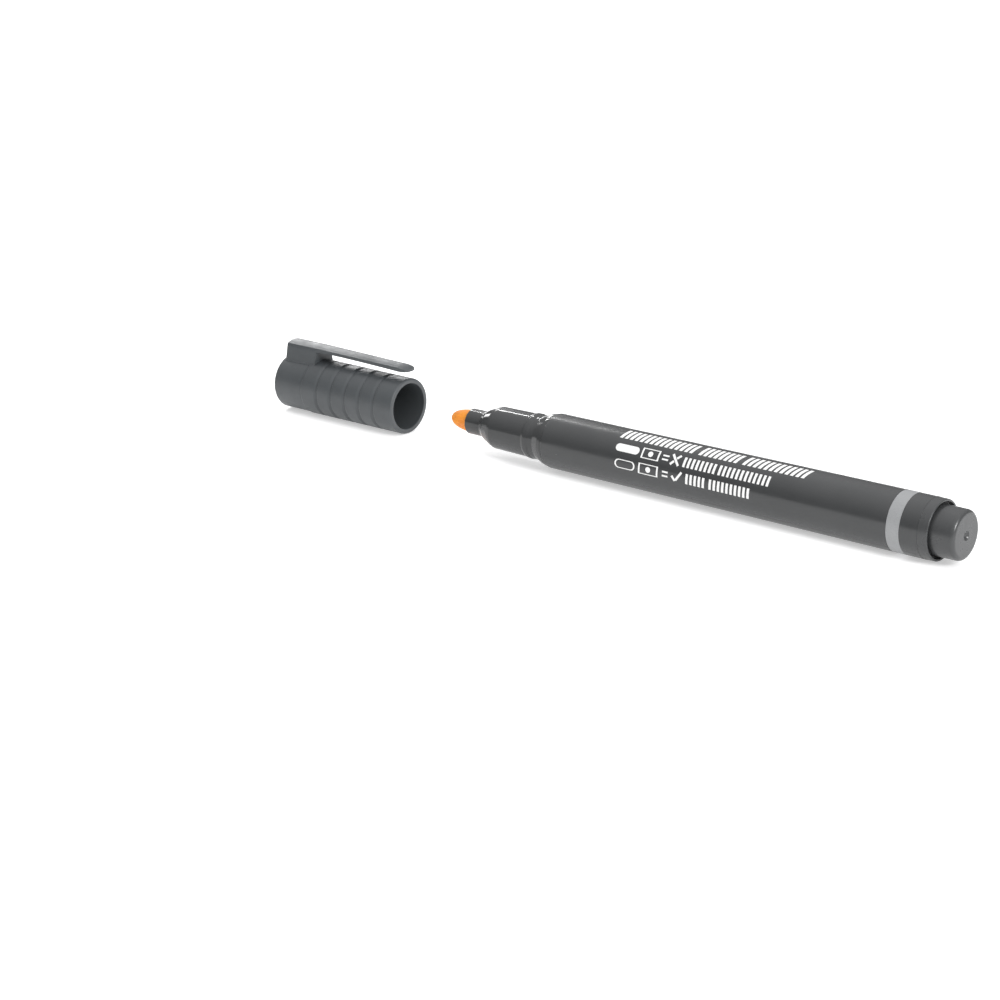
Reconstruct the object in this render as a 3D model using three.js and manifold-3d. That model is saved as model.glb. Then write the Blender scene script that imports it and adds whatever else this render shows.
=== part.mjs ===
// Counterfeit detector pen, lying on its side with its cap pulled straight off in front of the nib.
// Millimetres, +Z up. The pen's axis runs along X: the nib points to -X and the clip stands up on +Z.
// The origin is the middle of the whole object's base: the surface it lies on is z = 0.
// Stations (x in the profiles below) are measured along the axis from the front edge of the grey
// accent band, and SHIFT moves them into the object's frame.

import * as THREE from 'three';
import { mergeVertices } from 'three/addons/utils/BufferGeometryUtils.js';
import Module from 'manifold-3d';

// ---------------------------------------------------------------- driving dimensions

const SEGMENTS = 32;                  // sides of every round piece
const CLIP_ARC_STEPS = 6;             // straight steps in each arc of the clip
const ON_FLATS = 1 / Math.cos(Math.PI / SEGMENTS);  // radii are measured to the middle of a side

const CAP_END = -160.75;              // closed end of the cap
const CAP_MOUTH = -125.5;             // open end of the cap, pulled off
const CAP_TRAVEL = 39.0;              // how far the cap slides on to close
const PEN_END = 14.1;                 // rear face of the plug's boss
const SHIFT = -(CAP_END + PEN_END) / 2;

// cap
const CAP_R = 6.15;                   // plain zone at the closed end
const RIB_R = 6.3;                    // first rib, the widest ring of the whole pen
const MOUTH_R = 6.235;                // last rib, at the mouth
const CAP_BORE_R = 5.15;
const CAP_END_WALL = 1.2;
const RIB_START = -152.3;             // where the ribbed zone begins
const GROOVE_END = -147.4;            // where the first groove ends and the second rib begins
const GROOVE_PITCH = 4.21;
const GROOVE_COUNT = 5;
const GROOVE_WIDTH = 0.95;
const GROOVE_DEPTH = 0.24;
const MOUTH_ROUND = 0.4;              // outer edge of the mouth
const MOUTH_CHAMFER = 0.1;            // inner edge

// inner seal cup of the cap: its rim meets the cone of the front section when the cap is closed
const LINER_R = 5.1;
const LINER_BORE_R = 4.0;
const LINER_RIM = -101.4 - CAP_TRAVEL;
const LINER_END_WALL = 1.0;

// clip: heights are above the pen's axis
const CLIP_HALF_WIDTH = 2.3;          // top face, at the root
const CLIP_TIP_HALF_WIDTH = 2.05;
const CLIP_FOOT_HALF_WIDTH = 3.0;
const CLIP_FOOT = 5.2;                // sunk in the cap's wall
const CLIP_EDGE_TOP = 9.35;           // long edges of the top face
const CLIP_CROWN = 0.45;              // the top face is domed across by this much
const CLIP_DROP = 0.33;               // and sinks by this much towards the tip
const CLIP_ROOT_START = -159.85;
const CLIP_ROOT_END = -150.85;
const CLIP_TOP_END = -126.9;          // where the top face stops and the nose begins
const CLIP_NOSE = -124.7;
const CLIP_NOSE_HIGH = 8.75;
const CLIP_NOSE_LOW = 8.2;
const CLIP_UNDER_ROOT = 8.2;          // underside: arched between the root and the tip
const CLIP_UNDER_MIDDLE = 8.5;
const CLIP_UNDER_TIP = 8.1;
const CLIP_UNDER_END = -127.3;
const CLIP_STRAIGHT_END = -126.2;     // where the sides begin to draw in round the nose
const HINGE_GAP = 0.05;

// front section and nib
const NIB_TIP = -113.05;
const NIB_R = 2.5;
const NIB_TAIL_R = 2.1;
const HOLDER_FRONT = -107.25;
const HOLDER_R = 2.8;
const COLLAR_END = -84.2;
const COLLAR_R = 5.82;
const SPIGOT_END = -74;
const SPIGOT_R = 4.8;
const RESERVOIR_SEAT_R = 3.8;

// barrel
const BARREL_FRONT = -84.05;
const BARREL_FRONT_R = 5.9;
const BARREL_REAR = 6.9;
const BARREL_REAR_R = 6.2;
const BARREL_BORE_R = 4.85;
const BAND_WIDTH = 2.95;
const BAND_DEPTH = 0.3;

// ink reservoir
const CORE_R = 3.5;
const FILM = 0.2;
const RESERVOIR_FRONT = -96;
const RESERVOIR_REAR = -3;
const FIT = 0.05;                     // clearance between pieces pushed into each other

// rear plug
const FLANGE_R = 6.12;
const FLANGE_FACE = 9.0;
const MOAT_R = 5.68;
const MOAT_DEPTH = 1.1;
const BOSS_R = 5.08;
const BOSS_ROUND = 0.8;
const DIMPLE_R = 0.95;
const DIMPLE_DEPTH = 0.5;

const wasm = await Module();
wasm.setup();

// ---------------------------------------------------------------- helpers

// Points [station, radius] on a quarter round from one heading to another, in degrees:
// 180 faces -X, 90 faces outwards, 0 faces +X.
function corner(station, radius, round, fromDeg, toDeg, steps = 3) {
  return Array.from({ length: steps + 1 }, (_, i) => {
    const angle = THREE.MathUtils.degToRad(fromDeg + ((toDeg - fromDeg) * i) / steps);
    return [station + round * Math.cos(angle), radius + round * Math.sin(angle)];
  });
}

// Turns a profile about the pen's axis. It runs along the outside towards +X and back inside.
function turned(profile) {
  const points = profile.map(([station, radius]) => new THREE.Vector2(radius * ON_FLATS, station + SHIFT));
  const geometry = new THREE.LatheGeometry(points, SEGMENTS, Math.PI / SEGMENTS);
  geometry.rotateZ(-Math.PI / 2);
  geometry.translate(0, 0, RIB_R);
  return geometry;
}

function ring(profile) {
  return turned([...profile, profile[0]]);
}

// A geometry as a manifold-3d solid, for joining and cutting.
function solid(geometry) {
  const bare = geometry.clone();
  bare.deleteAttribute('normal');
  bare.deleteAttribute('uv');
  const merged = mergeVertices(bare, 1e-4);
  const index = merged.index.array;
  const kept = [];
  for (let i = 0; i < index.length; i += 3) {
    const [a, b, c] = [index[i], index[i + 1], index[i + 2]];
    if (a !== b && b !== c && c !== a) kept.push(a, b, c);
  }
  return new wasm.Manifold(new wasm.Mesh({
    numProp: 3,
    vertProperties: new Float32Array(merged.attributes.position.array),
    triVerts: new Uint32Array(kept),
  }));
}

function toGeometry(manifold) {
  const mesh = manifold.getMesh();
  const geometry = new THREE.BufferGeometry();
  geometry.setAttribute('position', new THREE.BufferAttribute(mesh.vertProperties, 3));
  geometry.setIndex(new THREE.BufferAttribute(mesh.triVerts, 1));
  return geometry;
}

function piece(name, geometry, color, roughness, metalness = 0) {
  const mesh = new THREE.Mesh(geometry, new THREE.MeshStandardMaterial({ color, roughness, metalness }));
  mesh.name = name;
  return mesh;
}

// ---------------------------------------------------------------- cap

// Outside of the cap: a plain zone, a step up, then ribs that thin slightly towards the mouth.
function capOutside() {
  const outline = [...corner(CAP_END + 0.35, CAP_R - 0.35, 0.35, 180, 90), [RIB_START - 0.15, CAP_R]];
  outline.push([RIB_START + 0.1, RIB_R]);
  for (let i = 0; i < GROOVE_COUNT; i++) {
    const end = GROOVE_END + i * GROOVE_PITCH;
    const crest = THREE.MathUtils.lerp(RIB_R, MOUTH_R, i / GROOVE_COUNT);
    outline.push([end - GROOVE_WIDTH, crest], [end - 0.35, crest - GROOVE_DEPTH]);
    outline.push([end - 0.2, crest - GROOVE_DEPTH], [end, crest]);
  }
  return [...outline, ...corner(CAP_MOUTH - MOUTH_ROUND, MOUTH_R - MOUTH_ROUND, MOUTH_ROUND, 90, 0)];
}

// The clip seen along the pen: a broad foot, drafted sides and a domed top.
function clipSection() {
  const domeR = (CLIP_HALF_WIDTH ** 2 + CLIP_CROWN ** 2) / (2 * CLIP_CROWN);
  const domeCentre = CLIP_EDGE_TOP + CLIP_CROWN - domeR;
  const half = Math.asin(CLIP_HALF_WIDTH / domeR);
  const shape = new THREE.Shape();
  shape.moveTo(-CLIP_FOOT_HALF_WIDTH, CLIP_FOOT);
  shape.lineTo(CLIP_FOOT_HALF_WIDTH, CLIP_FOOT);
  shape.lineTo(CLIP_HALF_WIDTH, CLIP_EDGE_TOP);
  shape.absarc(0, domeCentre, domeR, Math.PI / 2 - half, Math.PI / 2 + half, false);
  return shape;
}

// A flat shape made into a straight solid.
function extruded(shape, depth) {
  return new THREE.ExtrudeGeometry(shape, { depth, bevelEnabled: false, curveSegments: CLIP_ARC_STEPS });
}

// The clip's cross-section, drawn in (Y, Z), run along X from one station to another.
function clipBar(from, to) {
  const geometry = extruded(clipSection(), to - from);
  geometry.rotateX(Math.PI / 2);
  geometry.rotateZ(Math.PI / 2);
  geometry.translate(from + SHIFT, 0, RIB_R);
  return geometry;
}

function capShell() {
  const tube = turned([
    [CAP_END, 0],
    ...capOutside(),
    [CAP_MOUTH, CAP_BORE_R + MOUTH_CHAMFER],
    [CAP_MOUTH - MOUTH_CHAMFER, CAP_BORE_R],
    [CAP_END + CAP_END_WALL, CAP_BORE_R],
    [CAP_END + CAP_END_WALL, 0],
  ]);
  const root = clipBar(CLIP_ROOT_START, CLIP_ROOT_END);
  return piece('cap_shell', toGeometry(solid(tube).add(solid(root))), '#5b6064', 0.38);
}

function capLiner() {
  const back = CAP_END + CAP_END_WALL + FIT;
  const cup = turned([
    [back, 0],
    [back, LINER_R],
    [LINER_RIM - 0.4, LINER_R],
    [LINER_RIM, LINER_R - 0.4],
    [LINER_RIM, LINER_BORE_R + 0.3],
    [LINER_RIM - 0.3, LINER_BORE_R],
    [back + LINER_END_WALL, LINER_BORE_R],
    [back + LINER_END_WALL, 0],
  ]);
  return piece('cap_liner', cup, '#b9bcbc', 0.5);
}

// The clip's free arm seen from the side: arched underneath, with a sloping nose.
function clipSide() {
  const top = CLIP_EDGE_TOP + CLIP_CROWN;
  const archStation = (CLIP_ROOT_END + CLIP_UNDER_END) / 2;
  const archControl = 2 * CLIP_UNDER_MIDDLE - (CLIP_UNDER_ROOT + CLIP_UNDER_TIP) / 2;
  const shape = new THREE.Shape();
  shape.moveTo(CLIP_ROOT_END, CLIP_UNDER_ROOT);
  shape.quadraticCurveTo(archStation, archControl, CLIP_UNDER_END, CLIP_UNDER_TIP);
  shape.lineTo(CLIP_NOSE, CLIP_NOSE_LOW);
  shape.lineTo(CLIP_NOSE, CLIP_NOSE_HIGH);
  shape.lineTo(CLIP_TOP_END, top - CLIP_DROP);
  shape.lineTo(CLIP_ROOT_END, top);
  return shape;
}

// The clip's free arm seen from above: sides that draw in to a round end.
function clipPlan() {
  const reach = CLIP_NOSE + HINGE_GAP - CLIP_STRAIGHT_END;
  const shape = new THREE.Shape();
  shape.moveTo(CLIP_ROOT_END, -CLIP_FOOT_HALF_WIDTH);
  shape.absellipse(CLIP_STRAIGHT_END, 0, reach, CLIP_TIP_HALF_WIDTH, -Math.PI / 2, Math.PI / 2);
  shape.lineTo(CLIP_ROOT_END, CLIP_FOOT_HALF_WIDTH);
  return shape;
}

// The free arm is what its three views share.
function clipArm() {
  const side = extruded(clipSide(), 2 * CLIP_FOOT_HALF_WIDTH);
  side.rotateX(Math.PI / 2);
  side.translate(SHIFT, CLIP_FOOT_HALF_WIDTH, RIB_R);
  const plan = extruded(clipPlan(), 2 * CLIP_EDGE_TOP);
  plan.translate(SHIFT, 0, 0);
  const bar = clipBar(CLIP_ROOT_END + HINGE_GAP, CLIP_NOSE + HINGE_GAP);
  const arm = solid(side).intersect(solid(plan)).intersect(solid(bar));
  return piece('clip_arm', toGeometry(arm), '#6c7073', 0.38);
}

// ---------------------------------------------------------------- front section and nib

// The holder: nib tube, cone, gripping section, snap ring, neck, collar and the spigot in the barrel.
function frontSection() {
  const shell = ring([
    [HOLDER_FRONT, NIB_R + FIT],
    [HOLDER_FRONT, HOLDER_R - 0.1],
    [HOLDER_FRONT + 0.1, HOLDER_R],
    [-103.3, HOLDER_R],
    [-102.9, 3.05],
    [-102.3, 3.44],
    [-100.2, 4.34],
    [-99.7, 4.55],
    [-99.2, 4.63],
    [-90.9, 4.77],
    [-90.2, 4.78],
    [-89.7, 4.95],
    [-89.0, 4.95],
    [-88.5, 4.86],
    [-87.2, 4.86],
    [-86.3, 5.2],
    [-85.3, 5.62],
    [-84.5, COLLAR_R],
    [COLLAR_END, COLLAR_R],
    [COLLAR_END, SPIGOT_R],
    [SPIGOT_END - 0.5, SPIGOT_R],
    [SPIGOT_END, SPIGOT_R - 0.4],
    [SPIGOT_END, RESERVOIR_SEAT_R],
    [RESERVOIR_FRONT - 0.6, RESERVOIR_SEAT_R],
    [RESERVOIR_FRONT - 0.6, NIB_TAIL_R + FIT],
    [-104.5, NIB_TAIL_R + FIT],
    [-104.5, NIB_R + FIT],
  ]);
  return piece('front_section', shell, '#333436', 0.15);
}

// A pressed fibre rod: rounded writing end in front, thinner tail that feeds from the reservoir.
function nib() {
  const bulletLength = 7.1;
  const steps = 7;
  const bullet = Array.from({ length: steps }, (_, i) => {
    const t = i / steps;
    return [NIB_TIP + bulletLength * t * t, NIB_R * Math.sqrt(1 - (1 - t * t) ** 2)];
  });
  const rod = turned([
    ...bullet,
    [NIB_TIP + bulletLength, NIB_R],
    [-104.55, NIB_R],
    [-104.55, NIB_TAIL_R],
    [RESERVOIR_FRONT + 4, NIB_TAIL_R],
    [RESERVOIR_FRONT + 4, 0],
  ]);
  return piece('nib', rod, '#ee8a2b', 0.85);
}

// ---------------------------------------------------------------- ink reservoir

function inkReservoir() {
  const pocket = RESERVOIR_FRONT + 4 + FIT;
  const core = turned([
    [pocket, 0],
    [pocket, NIB_TAIL_R + FIT],
    [RESERVOIR_FRONT, NIB_TAIL_R + FIT],
    [RESERVOIR_FRONT, CORE_R],
    [RESERVOIR_REAR, CORE_R],
    [RESERVOIR_REAR, 0],
  ]);
  return piece('ink_reservoir', core, '#d8c9a0', 0.95);
}

function reservoirFilm() {
  const front = RESERVOIR_FRONT + 0.5;
  const rear = RESERVOIR_REAR - 0.5;
  const sleeve = ring([
    [front, CORE_R + 0.02],
    [front, CORE_R + FILM],
    [rear, CORE_R + FILM],
    [rear, CORE_R + 0.02],
  ]);
  return piece('reservoir_film', sleeve, '#e6e8ea', 0.2);
}

// ---------------------------------------------------------------- barrel, band and plug

function barrel() {
  const grooveR = BARREL_REAR_R - BAND_DEPTH;
  const tube = ring([
    [BARREL_FRONT, BARREL_BORE_R],
    [BARREL_FRONT, BARREL_FRONT_R - 0.15],
    [BARREL_FRONT + 0.15, BARREL_FRONT_R],
    [0, BARREL_REAR_R],
    [0, grooveR],
    [BAND_WIDTH, grooveR],
    [BAND_WIDTH, BARREL_REAR_R],
    [BARREL_REAR - 0.2, BARREL_REAR_R],
    [BARREL_REAR, BARREL_REAR_R - 0.2],
    [BARREL_REAR, BARREL_BORE_R],
  ]);
  return piece('barrel', tube, '#333436', 0.22);
}

function accentBand() {
  const inner = BARREL_REAR_R - BAND_DEPTH + 0.01;
  const band = ring([
    [0.02, inner],
    [0.02, BARREL_REAR_R],
    [BAND_WIDTH - 0.02, BARREL_REAR_R],
    [BAND_WIDTH - 0.02, inner],
  ]);
  return piece('accent_band', band, '#b9bbbd', 0.45);
}

// Closes the rear: a spigot with a cup that centres the reservoir, a flange with a moat, and the boss
// that the cap is pushed onto while the pen is in use.
function rearPlug() {
  const seatFloor = BARREL_REAR - 1.5;
  const spigotFront = RESERVOIR_REAR - 3;
  const moatFloor = FLANGE_FACE - MOAT_DEPTH;
  const plug = turned([
    [seatFloor, 0],
    [seatFloor, RESERVOIR_SEAT_R],
    [spigotFront, RESERVOIR_SEAT_R],
    [spigotFront, SPIGOT_R - 0.4],
    [spigotFront + 0.5, SPIGOT_R],
    [BARREL_REAR + 0.05, SPIGOT_R],
    [BARREL_REAR + 0.05, FLANGE_R],
    ...corner(FLANGE_FACE - 0.3, FLANGE_R - 0.3, 0.3, 90, 0, 2),
    [FLANGE_FACE, MOAT_R],
    [moatFloor, MOAT_R],
    [moatFloor, BOSS_R],
    ...corner(PEN_END - BOSS_ROUND, BOSS_R - BOSS_ROUND, BOSS_ROUND, 90, 0),
    [PEN_END, DIMPLE_R],
    [PEN_END - DIMPLE_DEPTH, 0],
  ]);
  return piece('rear_plug', plug, '#3a3b3d', 0.3);
}

// ---------------------------------------------------------------- assembly

const pen = new THREE.Group();
pen.add(barrel(), accentBand(), rearPlug(), frontSection(), nib(), inkReservoir(), reservoirFilm());

const cap = new THREE.Group();
cap.add(capShell(), capLiner(), clipArm());

const detectorPen = new THREE.Group();
detectorPen.add(pen, cap);
export default detectorPen;
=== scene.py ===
"""Counterfeit detector pen with its cap off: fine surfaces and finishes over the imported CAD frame.

Lengths are in millimetres unless a comment says otherwise. A station is a place along the pen's
axis, measured from the front edge of the accent band, as in the CAD, and it grows from the cap towards
the rear plug. Angles round the axis start at the top and grow towards -Y.
"""
import math

import bmesh
import bpy
from mathutils import Matrix, Vector, noise


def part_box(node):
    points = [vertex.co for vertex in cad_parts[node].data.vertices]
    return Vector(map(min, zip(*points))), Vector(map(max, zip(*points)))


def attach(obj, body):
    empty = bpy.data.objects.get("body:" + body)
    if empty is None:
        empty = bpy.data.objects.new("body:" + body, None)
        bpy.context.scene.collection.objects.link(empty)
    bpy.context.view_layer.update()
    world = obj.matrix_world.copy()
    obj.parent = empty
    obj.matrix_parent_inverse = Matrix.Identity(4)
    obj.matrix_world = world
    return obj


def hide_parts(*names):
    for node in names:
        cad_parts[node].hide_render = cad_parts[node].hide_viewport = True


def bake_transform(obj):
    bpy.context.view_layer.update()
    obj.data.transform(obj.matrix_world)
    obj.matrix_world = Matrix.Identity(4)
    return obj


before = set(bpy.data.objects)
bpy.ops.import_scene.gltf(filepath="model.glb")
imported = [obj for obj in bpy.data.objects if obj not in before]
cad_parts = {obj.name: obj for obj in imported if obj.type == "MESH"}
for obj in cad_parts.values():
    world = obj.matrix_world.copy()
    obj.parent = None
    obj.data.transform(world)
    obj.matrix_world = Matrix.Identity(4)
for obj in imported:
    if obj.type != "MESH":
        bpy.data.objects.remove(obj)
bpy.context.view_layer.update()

MM = 0.001                            # metres
SIDES = 144                           # of every turned piece
LARGEST_REACH = 0.47                  # share of a profile's side that the round of one corner may take
GUARD = 0.04                          # flat beside a round, which keeps its shading clean
SHORTEST_GUARD = 0.005

BARREL_FRONT = -84.05
BARREL_REAR = 6.9

barrel_low, barrel_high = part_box("barrel")
SHIFT = barrel_low.x / MM - BARREL_FRONT             # from a station to the row frame's x
AXIS = (barrel_low.z + barrel_high.z) / 2 / MM       # height of the pen's axis in the row frame


# ---------------------------------------------------------------- mesh helpers

def around(station, radius, angle):
    """A point in the row frame, in metres, from a station, a radius and an angle."""
    return Vector((station + SHIFT, -radius * math.sin(angle), AXIS + radius * math.cos(angle))) * MM


def arc_points(before, corner, after, radius, step=12):
    """A corner of a profile as a round of this radius, with short flat guards beside it."""
    back, ahead = (before - corner), (after - corner)
    reach = LARGEST_REACH * min(back.length, ahead.length)
    u, v = back.normalized(), ahead.normalized()
    opening = u.angle(v)
    if radius <= 0 or math.pi - opening < math.radians(2):
        return [corner]
    tangent = min(radius / math.tan(opening / 2), reach)
    radius = tangent * math.tan(opening / 2)
    centre = corner + (u + v).normalized() * (radius / math.sin(opening / 2))
    start, end = corner + u * tangent - centre, corner + v * tangent - centre
    sweep = start.angle(end)
    count = max(2, math.ceil(math.degrees(sweep) / step))
    points = [
        centre + (start * math.sin((1 - t) * sweep) + end * math.sin(t * sweep)) / math.sin(sweep)
        for t in (i / count for i in range(count + 1))
    ]
    guard = min(GUARD, 0.5 * (reach - tangent))
    if guard > SHORTEST_GUARD:
        points = [points[0] + u * guard, *points, points[-1] + v * guard]
    return points


def rounded(profile, closed=False):
    """Profile rows (station, radius, round) as points with every corner rounded."""
    corners = [Vector(row[:2]) for row in profile]
    rounds = [row[2] if len(row) > 2 else 0 for row in profile]
    last = len(corners) - 1
    points = []
    for i, corner in enumerate(corners):
        if not closed and i in (0, last):
            points.append(corner)
        else:
            points += arc_points(corners[i - 1], corner, corners[(i + 1) % len(corners)], rounds[i])
    return [tuple(p) for p in points]


def finish_mesh(name, bm, body, slot, replaces=(), sharp=38):
    """Makes an object from a bmesh, shades it smooth with sharp creases, and hangs it on its body."""
    bmesh.ops.recalc_face_normals(bm, faces=bm.faces[:])
    mesh = bpy.data.meshes.new(name)
    bm.to_mesh(mesh)
    bm.free()
    mesh.shade_smooth()
    mesh.set_sharp_from_angle(angle=math.radians(sharp))
    piece = bpy.data.objects.new(name, mesh)
    bpy.context.scene.collection.objects.link(piece)
    mesh.materials.append(MATERIALS[slot])
    if body:
        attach(piece, body)
    if replaces:
        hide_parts(*replaces)
    return piece


def bridge(bm, first, second):
    """Faces between two rings of vertices; a ring of one vertex is a pole."""
    count = max(len(first), len(second))
    for i in range(count):
        j = (i + 1) % count
        near = [first[i % len(first)], first[j % len(first)]]
        far = [second[j % len(second)], second[i % len(second)]]
        bm.faces.new(list(dict.fromkeys(near + far)))


def lathe(name, points, body, slot, replaces=(), closed=False, relief=None, sharp=38):
    """Turns profile points about the pen's axis.

    relief(station, radius, angle) gives a changed radius.
    """
    bm = bmesh.new()
    rings = []
    for station, radius in points:
        if radius == 0:
            rings.append([bm.verts.new(around(station, 0, 0))])
            continue
        angles = [2 * math.pi * i / SIDES for i in range(SIDES)]
        radii = [relief(station, radius, a) if relief else radius for a in angles]
        rings.append([bm.verts.new(around(station, r, a)) for r, a in zip(radii, angles)])
    for first, second in zip(rings, rings[1:] + rings[:1] if closed else rings[1:]):
        bridge(bm, first, second)
    return finish_mesh(name, bm, body, slot, replaces, sharp)


# ---------------------------------------------------------------- materials

class Nodes:
    """Small helper that adds and links the nodes of one material."""

    def __init__(self, name):
        self.material = bpy.data.materials.new(name)
        self.material.use_nodes = True
        self.tree = self.material.node_tree
        self.shader = self.tree.nodes["Principled BSDF"]
        self.place = self.add("ShaderNodeTexCoord").outputs["Object"]

    def add(self, kind, links=None, **values):
        node = self.tree.nodes.new(kind)
        for key, value in values.items():
            setattr(node, key, value)
        for socket, source in (links or {}).items():
            if isinstance(source, bpy.types.NodeSocket):
                self.tree.links.new(source, node.inputs[socket])
            else:
                node.inputs[socket].default_value = source
        return node

    def noise(self, period, stretch=(1, 1, 1), detail=2.0, roughness=0.5):
        """Noise that repeats about every period millimetres, longer by stretch along each axis."""
        scale = [1 / s for s in stretch]
        mapped = self.add("ShaderNodeMapping", {"Vector": self.place, "Scale": scale}).outputs["Vector"]
        links = {"Vector": mapped, "Scale": 1 / (period * MM), "Detail": detail, "Roughness": roughness}
        return self.add("ShaderNodeTexNoise", links).outputs["Fac"]

    def ranged(self, value, low, high, start=0.3, end=0.7):
        """low to high, as value goes from start to end."""
        links = {"Value": value, "From Min": start, "From Max": end, "To Min": low, "To Max": high}
        return self.add("ShaderNodeMapRange", links).outputs["Result"]

    def mix(self, factor, first, second):
        node = self.add("ShaderNodeMix", data_type="RGBA")
        for socket, value in ((0, factor), (6, first), (7, second)):
            if isinstance(value, bpy.types.NodeSocket):
                self.tree.links.new(value, node.inputs[socket])
            else:
                node.inputs[socket].default_value = value if socket == 0 else (*value, 1)
        return node.outputs[2]

    def maths(self, operation, first, second):
        return self.add("ShaderNodeMath", {0: first, 1: second}, operation=operation).outputs[0]

    def bump(self, height, distance, below=None):
        """Bump whose full height is distance millimetres, added to the bump below it."""
        links = {"Height": height, "Distance": distance * MM}
        if below:
            links["Normal"] = below
        return self.add("ShaderNodeBump", links).outputs["Normal"]

    def shade(self, **inputs):
        for name, value in inputs.items():
            socket = self.shader.inputs[name.replace("_", " ")]
            if isinstance(value, bpy.types.NodeSocket):
                self.tree.links.new(value, socket)
            else:
                socket.default_value = (*value, 1) if socket.type == "RGBA" else value
        return self.material


def lighter(color, factor):
    return tuple(c * factor for c in color)


def moulded_plastic(name, color, gloss, grain, wave, tone=0.06, scratch=0.03, shine=0.5):
    """Moulded plastic: cloudy pigment, uneven gloss, fine grain, faint hairlines along the axis.

    gloss is the mean roughness and scratch what a hairline adds to it, grain and wave are the heights of
    the two bumps, tone is how far the pigment varies, and shine is the specular level.
    """
    n = Nodes(name)
    cloud = n.noise(9, detail=3)
    speck = n.noise(0.16, detail=1)
    tinted = n.mix(n.ranged(cloud, 0, 1), lighter(color, 1 - tone), lighter(color, 1 + tone))
    base = n.mix(n.ranged(speck, 0, 0.2, 0.45, 0.75), tinted, lighter(color, 1.3))
    hairline = n.ranged(n.noise(0.22, (45, 1, 1), detail=1), 0, 1, 0.66, 0.72)
    patchy = n.ranged(n.noise(3.5, detail=4, roughness=0.6), gloss * 0.82, gloss * 1.2)
    rough = n.maths("ADD", patchy, n.maths("MULTIPLY", hairline, scratch))
    swell = n.bump(n.noise(4.5, (2.5, 1, 1), detail=1), wave)
    skin = n.bump(n.noise(0.12, detail=2, roughness=0.6), grain, swell)
    return n.shade(Base_Color=base, Roughness=rough, Normal=skin, IOR=1.49, Specular_IOR_Level=shine)


def satin_band(name, color):
    """Light grey satin ring with a fine silvery speckle."""
    n = Nodes(name)
    speckle = n.noise(0.13, detail=2, roughness=0.7)
    cloud = n.noise(2.2, detail=3)
    base = n.mix(n.ranged(speckle, 0, 1, 0.35, 0.65), lighter(color, 0.86), lighter(color, 1.14))
    base = n.mix(n.ranged(cloud, 0, 0.3), base, lighter(color, 1.1))
    rough = n.ranged(speckle, 0.34, 0.5)
    return n.shade(Base_Color=base, Roughness=rough, Normal=n.bump(speckle, 0.0025), IOR=1.46)


def ink_fibre(name, dark, light, damp):
    """Pressed fibre: streaks along the axis, fine fuzz, and ink that is deeper in places."""
    n = Nodes(name)
    streak = n.noise(0.14, (9, 1, 1), detail=2, roughness=0.6)
    fuzz = n.noise(0.07, (2.5, 1, 1), detail=3, roughness=0.65)
    pool = n.noise(2.4, (1.6, 1, 1), detail=2)
    shade = n.maths("ADD", n.maths("MULTIPLY", streak, 0.55), n.maths("MULTIPLY", pool, 0.45))
    base = n.mix(n.ranged(shade, 0, 1, 0.38, 0.62), dark, light)
    swell = n.bump(streak, 0.035)
    normal = n.bump(fuzz, 0.03, swell)
    rough = n.ranged(pool, damp, min(1.0, damp + 0.25))
    return n.shade(Base_Color=base, Roughness=rough, Normal=normal, Subsurface_Weight=0.15,
                   Subsurface_Radius=(1.2 * MM, 0.6 * MM, 0.2 * MM),
                   Sheen_Weight=0.1, Sheen_Roughness=0.5)


def clear_film(name, color):
    """Thin wrapping film, faintly wrinkled."""
    n = Nodes(name)
    wrinkle = n.noise(1.6, (6, 1, 1), detail=3)
    base = n.mix(n.ranged(wrinkle, 0, 1), lighter(color, 0.93), color)
    rough = n.ranged(wrinkle, 0.12, 0.24)
    return n.shade(Base_Color=base, Roughness=rough, Normal=n.bump(wrinkle, 0.05),
                   Transmission_Weight=0.25, IOR=1.5)


def screen_ink(name, color):
    """White screen print: matt, with slightly uneven cover."""
    n = Nodes(name)
    cover = n.noise(0.35, detail=3, roughness=0.6)
    mesh_marks = n.noise(0.09, detail=1)
    base = n.mix(n.ranged(cover, 0, 1), lighter(color, 0.9), color)
    rough = n.ranged(cover, 0.42, 0.58)
    return n.shade(Base_Color=base, Roughness=rough, Normal=n.bump(mesh_marks, 0.004))


def studio_floor(name):
    """White paper with a trace of grain, glowing slightly so that shadows stay pale."""
    n = Nodes(name)
    grain = n.noise(1.1, detail=4, roughness=0.6)
    base = n.mix(n.ranged(grain, 0, 1), (0.86, 0.86, 0.86), (0.88, 0.88, 0.88))
    return n.shade(Base_Color=base, Roughness=n.ranged(grain, 0.6, 0.7), Normal=n.bump(grain, 0.01),
                   Emission_Color=(1.0, 1.0, 1.0), Emission_Strength=0.45)


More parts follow.
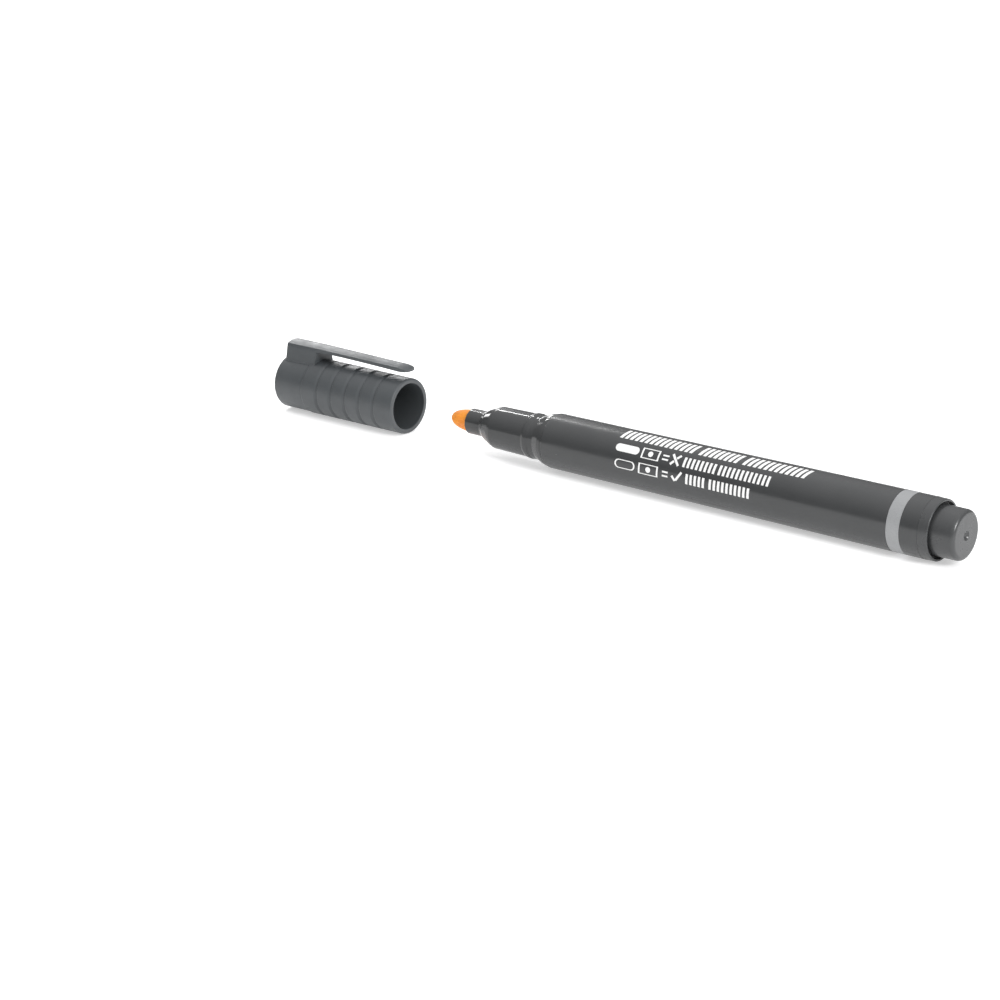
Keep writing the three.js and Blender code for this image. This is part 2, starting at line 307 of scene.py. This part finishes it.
BARREL_GREY = (0.039, 0.0405, 0.0415)
CAP_GREY = (0.056, 0.062, 0.066)
MATERIALS = {
    "barrel_plastic": moulded_plastic("barrel_plastic", BARREL_GREY, 0.22, 0.0004, 0.0015,
                                      scratch=0.015),
    "plug_plastic": moulded_plastic("plug_plastic", lighter(BARREL_GREY, 1.12), 0.30, 0.0009, 0.002,
                                    scratch=0),
    "holder_plastic": moulded_plastic("holder_plastic", BARREL_GREY, 0.13, 0.0002, 0.001, shine=0.42),
    "cap_plastic": moulded_plastic("cap_plastic", CAP_GREY, 0.42, 0.003, 0.003, tone=0.08),
    "liner_plastic": moulded_plastic("liner_plastic", lighter(CAP_GREY, 1.1), 0.5, 0.003, 0.003),
    "band": satin_band("band", (0.27, 0.275, 0.28)),
    "nib_fibre": ink_fibre("nib_fibre", (0.66, 0.17, 0.006), (0.86, 0.31, 0.014), 0.55),
    "reservoir_fibre": ink_fibre("reservoir_fibre", (0.60, 0.42, 0.20), (0.82, 0.68, 0.42), 0.6),
    "film": clear_film("film", (0.82, 0.84, 0.86)),
    "print_ink": screen_ink("print_ink", (0.86, 0.86, 0.85)),
    "floor": studio_floor("floor"),
}


# ---------------------------------------------------------------- pen: barrel, band and plug

BARREL_FRONT_R = 5.9
BARREL_REAR_R = 6.2
BAND_WIDTH = 2.95
BAND_FLOOR_R = 5.9
BORE_R = 4.85


def barrel():
    profile = [
        (BARREL_FRONT, BORE_R, 0.05),
        (BARREL_FRONT, BARREL_FRONT_R, 0.2),
        (0, BARREL_REAR_R, 0.03),
        (0, BAND_FLOOR_R, 0.02),
        (BAND_WIDTH, BAND_FLOOR_R, 0.02),
        (BAND_WIDTH, BARREL_REAR_R, 0.03),
        (BARREL_REAR, BARREL_REAR_R, 0.02),
        (BARREL_REAR, BORE_R, 0.05),
    ]
    lathe("barrel_tube", rounded(profile, closed=True), "pen", "barrel_plastic", ["barrel"], closed=True)


def accent_band():
    gap = 0.03
    inner_r, outer_r = BAND_FLOOR_R + 0.02, BARREL_REAR_R - 0.005
    profile = [
        (gap, inner_r, 0.02),
        (gap, outer_r, 0.05),
        (BAND_WIDTH - gap, outer_r, 0.05),
        (BAND_WIDTH - gap, inner_r, 0.02),
    ]
    lathe("accent_ring", rounded(profile, closed=True), "pen", "band", ["accent_band"], closed=True)


def rear_plug():
    """A hollow spigot, a flange behind the barrel, a moat, and the boss with its moulding dimple."""
    profile = [
        (5.4, 0),
        (5.4, 3.8, 0.2),
        (-6.0, 3.8, 0.15),
        (-6.0, 4.8, 0.4),
        (6.91, 4.8, 0.02),
        (6.91, 6.17, 0.02),
        (9.0, 6.13, 0.22),
        (9.0, 5.68, 0.1),
        (7.9, 5.68, 0.15),
        (7.9, 5.08, 0.25),
        (14.1, 5.08, 0.9),
        (14.1, 1.0, 0.12),
        (13.82, 0.72, 0.15),
        (13.62, 0.36, 0.08),
        (13.8, 0.22, 0.08),
        (13.84, 0),
    ]
    lathe("end_plug", rounded(profile), "pen", "plug_plastic", ["rear_plug"])


# ---------------------------------------------------------------- pen: front section, nib and reservoir

def front_section():
    """From the nib tube back: cone, gripping section, snap ring, neck, collar, spigot and the bores."""
    profile = [
        (-107.25, 2.55, 0.04),
        (-107.25, 2.8, 0.08),
        (-103.3, 2.8, 0.5),
        (-102.75, 3.12, 0.4),
        (-102.1, 3.52, 0.9),
        (-100.1, 4.4, 0.8),
        (-99.3, 4.62, 0.9),
        (-90.3, 4.77, 0.25),
        (-89.75, 4.95, 0.2),
        (-88.95, 4.95, 0.2),
        (-88.4, 4.85, 0.3),
        (-87.2, 4.86, 0.9),
        (-85.4, 5.56, 1.2),
        (-84.6, 5.72, 0.3),
        (-84.07, 5.72, 0.02),
        (-84.07, 4.8, 0.02),
        (-74.0, 4.8, 0.5),
        (-74.0, 3.8, 0.2),
        (-96.6, 3.8, 0.3),
        (-96.6, 2.15, 0.2),
        (-104.5, 2.15, 0.1),
        (-104.5, 2.55, 0.1),
    ]
    points = rounded(profile, closed=True)
    lathe("nib_holder", points, "pen", "holder_plastic", ["front_section"], closed=True)


def fibre_relief(depth, turns, seed):
    """Ridges of pressed fibre that run along the piece, more of them round it with more turns."""
    def relief(station, radius, angle):
        place = Vector((station * 0.35, turns * math.cos(angle), turns * math.sin(angle) + seed))
        fine = noise.noise(place) + 0.5 * noise.noise(place * 2.3)
        return radius - depth * (0.5 + 0.5 * fine) * min(1, radius)
    return relief


def nib():
    tip, length, radius = -112.8, 6.9, 2.5
    crowding = 1.6                    # puts the rings closer together at the tip
    steps = 44
    shares = [(i / steps) ** crowding for i in range(steps + 1)]
    bullet = [(tip + length * t, radius * (1 - (1 - t) ** 2.3) ** (1 / 2.2)) for t in shares]
    tail = [(-104.6, radius), (-104.55, 2.3), (-104.5, 2.1), (-92.1, 2.1), (-92.0, 2.0), (-92.0, 0)]
    lathe("fibre_nib", bullet + tail, "pen", "nib_fibre", ["nib"],
          relief=fibre_relief(0.05, 9, 3.0), sharp=60)


def reservoir():
    core = rounded([
        (-91.95, 0),
        (-91.95, 2.15, 0.05),
        (-96.0, 2.15, 0.1),
        (-96.0, 3.48, 0.25),
        (-3.0, 3.48, 0.25),
        (-3.0, 0),
    ])
    lathe("ink_core", core, "pen", "reservoir_fibre", ["ink_reservoir"],
          relief=fibre_relief(0.04, 14, 8.0))
    film = rounded([
        (-95.5, 3.53, 0.02),
        (-95.5, 3.7, 0.05),
        (-3.5, 3.7, 0.05),
        (-3.5, 3.53, 0.02),
    ], closed=True)
    lathe("core_film", film, "pen", "film", ["reservoir_film"], closed=True)


# ---------------------------------------------------------------- cap

CAP_END = -160.75
CAP_MOUTH = -125.5
CAP_R = 6.15
RIB_START = -152.3
RIB_FIRST_R = 6.3
RIB_LAST_R = 6.235
GROOVE_END = -147.4                   # rear edge of the first groove
GROOVE_PITCH = 4.21
GROOVE_COUNT = 5
GROOVE_WIDTH = 1.1
GROOVE_DEPTH = 0.3
CAP_BORE_R = 5.15
CAP_END_WALL = 1.2
MOUTH_BEVEL = 0.1


def cap_tube():
    outside = [(CAP_END, 0), (CAP_END, CAP_R, 0.45), (RIB_START - 0.12, CAP_R, 0.06)]
    outside.append((RIB_START + 0.1, RIB_FIRST_R, 0.16))
    for i in range(GROOVE_COUNT):
        end = GROOVE_END + i * GROOVE_PITCH
        crest = RIB_FIRST_R + (RIB_LAST_R - RIB_FIRST_R) * i / GROOVE_COUNT
        outside += [
            (end - GROOVE_WIDTH, crest, 0.5),
            (end - 0.5, crest - GROOVE_DEPTH + 0.02, 0.12),
            (end - 0.22, crest - GROOVE_DEPTH, 0.06),
            (end, crest, 0.3),
        ]
    outside += [
        (CAP_MOUTH, RIB_LAST_R, 0.42),
        (CAP_MOUTH, CAP_BORE_R + MOUTH_BEVEL, 0.1),
        (CAP_MOUTH - MOUTH_BEVEL, CAP_BORE_R, 0.08),
        (CAP_END + CAP_END_WALL, CAP_BORE_R, 0.3),
        (CAP_END + CAP_END_WALL, 0),
    ]
    lathe("cap_tube", rounded(outside), "cap", "cap_plastic", ["cap_shell"])


def cap_liner():
    back, rim, floor_wall = -159.5, -140.9, 1
    outer_r, bore_r = 5.1, 4.0
    profile = [
        (back, 0),
        (back, outer_r, 0.1),
        (rim, outer_r, 0.4),
        (rim, bore_r + 0.3, 0.1),
        (rim - 0.35, bore_r, 0.1),
        (back + floor_wall, bore_r, 0.5),
        (back + floor_wall, 0),
    ]
    lathe("seal_cup", rounded(profile), "cap_seal", "liner_plastic", ["cap_liner"])


# ---------------------------------------------------------------- clip

CLIP_BACK = -159.85
CLIP_ROOT_END = -150.85
CLIP_TOP_END = -127.2                 # where the nose begins
CLIP_NOSE = -124.7
CLIP_TOP = 9.37                       # long edges of the top face, above the axis
CLIP_DROP = 0.34                      # they sink this much from the root to the nose
CLIP_HALF = 2.3                       # half the width of the top face at its back
CLIP_TAPER = 0.37                     # and how much of it is lost by the nose
CLIP_CROWN = 0.43
CLIP_DRAFT = 0.17                     # the sides spread this much for each millimetre down
CLIP_EDGE_ROUND = 0.22
CLIP_FOOT_ROUND = 0.13
CLIP_SUNK = 5.25                      # bottom of the root, inside the cap's wall
CLIP_FLARE = 0.2                      # fillet between the root and the cap
CLIP_UNDER = 8.62                     # underside of the arm where it is highest
CLIP_INNER_ROUND = 0.3                # between the root and the arm's underside
ROOT_STEPS, ARM_STEPS, NOSE_STEPS = 12, 30, 20


def along_clip(station):
    """0 up to the end of the root, 1 where the nose begins."""
    return max(0.0, (station - CLIP_ROOT_END) / (CLIP_TOP_END - CLIP_ROOT_END))


def top_edge(station):
    return CLIP_TOP - CLIP_DROP * along_clip(station)


def top_half(station):
    """Half the width of the top face."""
    return CLIP_HALF - CLIP_TAPER * (station - CLIP_BACK) / (CLIP_TOP_END - CLIP_BACK)


def underside(station):
    """Height of the arm's underside: it rises out of the root, then sinks towards the tip."""
    t = along_clip(station)
    near_root, near_nose = 0.27 * (1 - t) ** 9, 0.5 * t ** 1.6
    return CLIP_UNDER - near_root - near_nose


def radians_of(*degrees):
    return [math.radians(d) for d in degrees]


def clip_section(bm, station, bottom, inset=0.0, flare=0.0, fall=0.0, width=1.0):
    """One ring of the clip: flat bottom, drafted sides, rounded edges, domed top.

    inset draws the sides and the top in, flare spreads the foot, fall lowers the top edge, and width
    narrows the whole ring. Points are (distance from the middle plane, height above the axis).
    """
    edge = top_edge(station) - inset - fall
    half = top_half(station) - inset

    def side(z):
        out = half + (CLIP_TOP - z) * CLIP_DRAFT
        above = max(0, z - CLIP_SUNK - 0.1)
        if above < flare:
            out += flare - math.sqrt(max(0, flare ** 2 - (flare - above) ** 2))
        return out * width

    edge_round, foot_round = CLIP_EDGE_ROUND * width, CLIP_FOOT_ROUND * width
    right = [(side(bottom) - foot_round * (1 - math.sin(a)), bottom + foot_round * (1 - math.cos(a)))
             for a in radians_of(0, 30, 60, 90)]
    low, high = bottom + foot_round, edge - edge_round
    heights = [low + (high - low) * t for t in (0.04, 0.1, 0.17, 0.26, 0.4, 0.6, 0.8, 1)]
    right += [(side(z), z) for z in heights]
    dome_from = side(edge) - edge_round
    rise = edge_round * 0.85
    right += [(dome_from + edge_round * math.cos(a), high + rise * math.sin(a))
              for a in radians_of(22, 45, 68)]
    top = high + rise
    crest = edge + CLIP_CROWN * width ** 1.5
    shares = (1, 0.85, 0.68, 0.5, 0.3, 0.12)
    right += [(dome_from * y, top + (crest - top) * (1 - y * y)) for y in shares]
    floor = [(side(bottom) * y, bottom) for y in (0.0, 0.4)]
    half_ring = floor + right
    left = [(-y, z) for y, z in reversed(half_ring) if y > 0]
    ring = half_ring + [(0, crest)] + left
    return [bm.verts.new(Vector((station + SHIFT, -y, AXIS + z)) * MM) for y, z in ring]


def root_rings(bm):
    """The block on the cap, with its back edge rounded."""
    back_round = 0.14
    for a in radians_of(0, 22, 45, 68, 90):
        station = CLIP_BACK + back_round * (1 - math.cos(a))
        inset = back_round * (1 - math.sin(a))
        yield clip_section(bm, station, CLIP_SUNK, inset=inset, flare=CLIP_FLARE)
    start = CLIP_BACK + back_round
    for i in range(1, ROOT_STEPS + 1):
        station = start + i * (CLIP_ROOT_END - start) / ROOT_STEPS
        yield clip_section(bm, station, CLIP_SUNK, flare=CLIP_FLARE)


def arm_rings(bm):
    """The arm, from the round under its root to the nose."""
    face = CLIP_ROOT_END + 0.02       # just clear of the root's last ring
    for a in radians_of(0, 18, 36, 54, 72, 90):
        station = face + CLIP_INNER_ROUND * (1 - math.cos(a))
        bottom = underside(station) - CLIP_INNER_ROUND * (1 - math.sin(a))
        yield clip_section(bm, station, bottom)
    start = face + CLIP_INNER_ROUND
    for i in range(1, ARM_STEPS):
        station = start + i * (CLIP_TOP_END - start) / ARM_STEPS
        yield clip_section(bm, station, underside(station))


def nose_rings(bm):
    """The nose: its top sinks a little and its sides close in a blunt curve."""
    for a in radians_of(*(90 * i / NOSE_STEPS for i in range(NOSE_STEPS + 1))):
        t = math.sin(a)
        station = CLIP_TOP_END + t * (CLIP_NOSE - CLIP_TOP_END)
        width = max(0.04, (1 - t ** 3.4) ** (1 / 2.5))
        yield clip_section(bm, station, underside(CLIP_TOP_END), fall=0.28 * t, width=width)


def clip():
    bm = bmesh.new()
    rings = [*root_rings(bm), *arm_rings(bm), *nose_rings(bm)]
    for first, second in zip(rings, rings[1:]):
        bridge(bm, first, second)
    bm.faces.new(rings[0])
    bm.faces.new(rings[-1])
    piece = finish_mesh("pocket_clip", bm, None, "cap_plastic", ["clip_arm"])
    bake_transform(piece)


# ---------------------------------------------------------------- print on the barrel

PRINT_R = 6.07                        # turns lengths round the barrel into angles
INK_TOP = 0.02                        # above the barrel's surface
INK_ROOT = -0.06
WRAP_STEP = 0.3                       # the ink is cut this often round the barrel
WRAP_CUTS = 40
SIGN_WIDTH = 0.5                      # of the strokes of the cross and the tick


def rectangle(x0, x1, a0, a1, slant=0.0):
    """Corners in (station, arc) of a bar whose top leans towards +X by slant."""
    return [(x0, a1), (x1, a1), (x1 + slant, a0), (x0 + slant, a0)]


def pill(x0, x1, a0, a1, steps=10):
    """A rounded stroke, as made by a felt tip."""
    r, middle = (a1 - a0) / 2, (a0 + a1) / 2
    turns = [math.pi * (i / steps - 0.5) for i in range(steps + 1)]
    right = [(x1 - r + r * math.cos(t), middle + r * math.sin(t)) for t in turns]
    left = [(x0 + r - r * math.cos(t), middle - r * math.sin(t)) for t in turns]
    return right + left


def outline(shape, line):
    """The border of a convex shape as one four-cornered patch for each of its sides.

    line is its width at the corners, measured towards the middle of the shape.
    """
    centre = sum((Vector(p) for p in shape), Vector((0, 0))) / len(shape)
    inner = [Vector(p) + (centre - Vector(p)).normalized() * line for p in shape]
    sides = range(len(shape))
    return [[shape[i - 1], shape[i], tuple(inner[i]), tuple(inner[i - 1])] for i in sides]


def disc(x, a, r, steps=20):
    turns = [2 * math.pi * i / steps for i in range(steps)]
    return [(x + r * math.cos(t), a + r * math.sin(t)) for t in turns]


def thick_line(p, q, width):
    """A straight stroke of this width between two points."""
    along = Vector(q) - Vector(p)
    across = Vector((-along.y, along.x)).normalized() * width / 2
    return [tuple(Vector(p) + across), tuple(Vector(q) + across),
            tuple(Vector(q) - across), tuple(Vector(p) - across)]


def ticks(x0, x1, a0, a1, pitch=1.0, width=0.56, slant=0.0):
    """An even run of short upright strokes about pitch apart, from x0 to x1."""
    count = round((x1 - x0) / pitch)
    step = (x1 - x0 - width) / (count - 1)
    return [rectangle(x0 + i * step, x0 + i * step + width, a0, a1, slant) for i in range(count)]


def on_barrel(x, arc, lift):
    """A printed point: x is in the row frame, arc is measured from the top, both in mm."""
    station = x - SHIFT
    share = (station - BARREL_FRONT) / -BARREL_FRONT
    radius = BARREL_FRONT_R + (BARREL_REAR_R - BARREL_FRONT_R) * share
    return around(station, radius + lift, arc / PRINT_R)


def printed(name, shapes):
    """Flat shapes wrapped onto the barrel as a skin of ink with closed edges."""
    bm = bmesh.new()
    for shape in shapes:
        bm.faces.new([bm.verts.new((x, a, 0)) for x, a in shape])
    bmesh.ops.triangulate(bm, faces=bm.faces[:])
    for i in range(WRAP_CUTS):
        geometry = bm.verts[:] + bm.edges[:] + bm.faces[:]
        cut = (0, i * WRAP_STEP, 0)
        bmesh.ops.bisect_plane(bm, geom=geometry, plane_co=cut, plane_no=(0, 1, 0))
    raised = bmesh.ops.extrude_face_region(bm, geom=bm.faces[:], use_keep_orig=True)
    for vert in (v for v in raised["geom"] if isinstance(v, bmesh.types.BMVert)):
        vert.co.z = 1
    for vert in bm.verts:
        vert.co = on_barrel(vert.co.x, vert.co.y, INK_TOP if vert.co.z > 0.5 else INK_ROOT)
    return finish_mesh(name, bm, "pen", "print_ink", sharp=30)


def note(x0, x1, a0, a1):
    """A banknote as an outline with a disc in the middle."""
    return [*outline(rectangle(x0, x1, a0, a1), 0.42), disc((x0 + x1) / 2, (a0 + a1) / 2, 0.6)]


def equals(x0, x1, middle):
    inner, outer = 0.25, 0.6
    return [rectangle(x0, x1, middle - outer, middle - inner),
            rectangle(x0, x1, middle + inner, middle + outer)]


def print_title():
    """The name line: three runs of slanted strokes."""
    top, foot = 0.4, 3.35
    strokes = []
    for x0, x1 in ((8.0, 26.1), (27.6, 36.8), (38.2, 52.8)):
        strokes += ticks(x0, x1, top, foot, pitch=1.2, width=0.74, slant=0.7)
    printed("print_title", strokes)


def print_dark_mark():
    """A filled swipe, a note, an equals sign, a cross, then a line of strokes."""
    shapes = [pill(8.3, 14.2, 4.75, 6.45), *note(14.9, 19.3, 4.5, 6.8), *equals(20.1, 21.6, 5.65)]
    shapes += [thick_line(p, q, SIGN_WIDTH) for p, q in (
        ((22.3, 4.5), (24.3, 6.75)),
        ((23.55, 5.3), (24.3, 4.5)),
        ((22.3, 6.75), (23.05, 5.95)),
    )]
    top, foot = 4.6, 6.75
    shapes += ticks(25.3, 33.1, top, foot) + ticks(33.9, 46.0, top, foot)
    printed("print_dark_mark", shapes)


def print_light_mark():
    """An outlined swipe, a note, an equals sign, a tick, then a line of strokes."""
    shapes = [*outline(pill(8.8, 13.9, 8.05, 9.95), 0.34), *note(14.8, 19.7, 7.85, 10.1)]
    shapes += equals(20.8, 22.2, 9.0)
    shapes += [thick_line((23.2, 9.0), (24.0, 9.95), SIGN_WIDTH),
               thick_line((24.15, 9.8), (25.5, 7.9), SIGN_WIDTH)]
    top, foot = 7.95, 10.05
    shapes += ticks(26.6, 31.2, top, foot) + ticks(32.3, 42.0, top, foot)
    printed("print_light_mark", shapes)


barrel()
accent_band()
rear_plug()
front_section()
nib()
reservoir()
cap_tube()
cap_liner()
clip()
print_title()
print_dark_mark()
print_light_mark()


# ---------------------------------------------------------------- floor, light and camera

def floor():
    """A square of 24 by 24 patches under the object, large enough to have no visible end."""
    bm = bmesh.new()
    half_side, count = 30.0, 24       # metres
    lines = [half_side * (i / count - 0.5) * 2 for i in range(count + 1)]
    grid = [[bm.verts.new((x, y, 0)) for y in lines] for x in lines]
    for i in range(count):
        for j in range(count):
            bm.faces.new((grid[i][j], grid[i + 1][j], grid[i + 1][j + 1], grid[i][j + 1]))
    mesh = bpy.data.meshes.new("floor")
    bm.to_mesh(mesh)
    bm.free()
    mesh.materials.append(MATERIALS["floor"])
    piece = bpy.data.objects.new("floor", mesh)
    bpy.context.scene.collection.objects.link(piece)


def softbox(name, towards, distance, width, height, watts):
    """An area light in this direction from the row frame's origin, facing it, its width along X.

    distance, width and height are in metres.
    """
    light = bpy.data.lights.new(name, "AREA")
    light.shape = "RECTANGLE"
    light.size, light.size_y = width, height
    light.energy = watts
    lamp = bpy.data.objects.new(name, light)
    away = Vector(towards).normalized()
    across = (Vector((1, 0, 0)) - away * away.x).normalized()
    lamp.matrix_world = Matrix((across, away.cross(across), away)).transposed().to_4x4()
    lamp.location = away * distance
    bpy.context.scene.collection.objects.link(lamp)


def studio_world():
    """Soft surround: dim at the horizon, bright overhead."""
    world = bpy.data.worlds.new("studio")
    bpy.context.scene.world = world
    world.use_nodes = True
    nodes, links = world.node_tree.nodes, world.node_tree.links
    place = nodes.new("ShaderNodeTexCoord")
    split = nodes.new("ShaderNodeSeparateXYZ")
    ramp = nodes.new("ShaderNodeValToRGB")
    links.new(place.outputs["Generated"], split.inputs[0])
    links.new(split.outputs["Z"], ramp.inputs[0])
    links.new(ramp.outputs[0], nodes["Background"].inputs["Color"])
    stops = [(0.0, 0.17), (0.12, 0.22), (0.35, 0.42), (0.7, 1.0), (1.0, 1.6)]
    blueness = 1.01
    for height, _ in stops[1:-1]:
        ramp.color_ramp.elements.new(height)
    for element, (height, level) in zip(ramp.color_ramp.elements, stops):
        element.position = height
        element.color = (level, level, level * blueness, 1)
    nodes["Background"].inputs["Strength"].default_value = 1.0


floor()
studio_world()
softbox("back_strip", (-0.71, 0.40, 0.58), 1.25, 0.36, 0.03, 2.2)
softbox("back_sheet", (-0.71, 0.62, 0.34), 1.28, 0.24, 0.45, 2.0)
softbox("edge_light", (-0.92, 0.28, 0.25), 1.0, 0.14, 0.14, 0.5)
softbox("end_fill", (0.86, -0.20, 0.46), 0.9, 0.25, 0.25, 5)

CAMERA_PLACE = Vector((0.31913, -0.42488, 0.16950))  # metres, as fitted to the photograph
CAMERA_AIM = Vector((-0.0263, 0, -0.0101))

camera = bpy.data.objects.new("camera", bpy.data.cameras.new("camera"))
camera.location = CAMERA_PLACE
camera.rotation_euler = (CAMERA_PLACE - CAMERA_AIM).to_track_quat("Z", "Y").to_euler()
camera.data.lens = 95.736
camera.data.sensor_width = 36
bpy.context.scene.collection.objects.link(camera)
bpy.context.scene.camera = camera
bpy.context.scene.view_settings.view_transform = "Standard"
